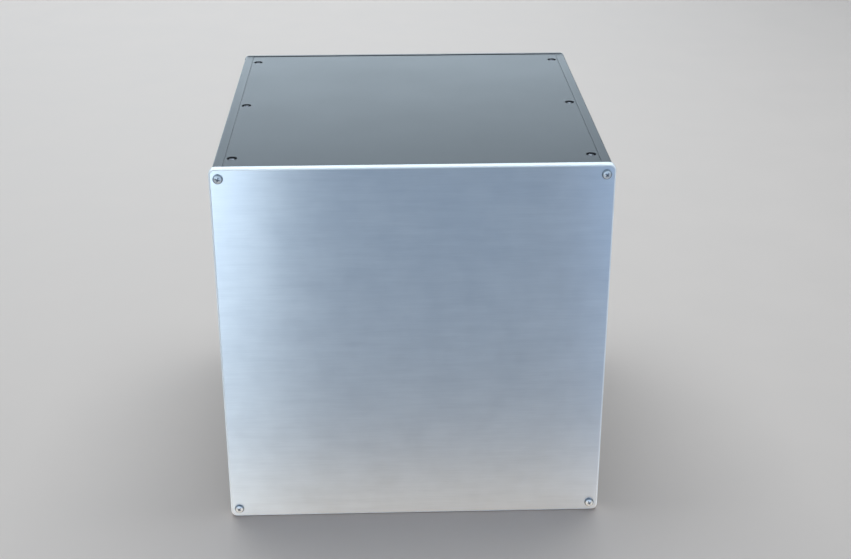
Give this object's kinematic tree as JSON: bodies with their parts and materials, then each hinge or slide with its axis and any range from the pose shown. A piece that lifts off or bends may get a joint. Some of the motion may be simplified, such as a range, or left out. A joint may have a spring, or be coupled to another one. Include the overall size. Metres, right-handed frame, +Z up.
{
  "type": "aluminium electronics chassis",
  "caption": "Near-cubic bare aluminium chassis for electronics: a thick brushed front panel, a thin rear panel, extruded side profiles and flush screwed covers.",
  "frame": {"origin": "on the surface that the chassis stands on, at the middle of its bounding box in X and Y", "axes": "+X to the right of the front panel, +Y from the front panel to the rear panel, +Z up"},
  "size_m": [0.31, 0.324, 0.311],
  "materials": {
    "brushed_silver": "satin",
    "black_anodised": "satin",
    "nickel_screw": "gloss",
    "black_screw": "satin"
  },
  "bodies": {
    "root": {"front_panel": "brushed_silver", "rear_panel": "black_anodised", "left_side_panel": "black_anodised", "right_side_panel": "black_anodised", "top_cover": "black_anodised", "bottom_cover": "black_anodised", "front_panel_screws": "nickel_screw", "rear_panel_screws": "black_screw", "top_cover_screws": "black_screw", "bottom_cover_screws": "black_screw"}
  },
  "joints": []
}
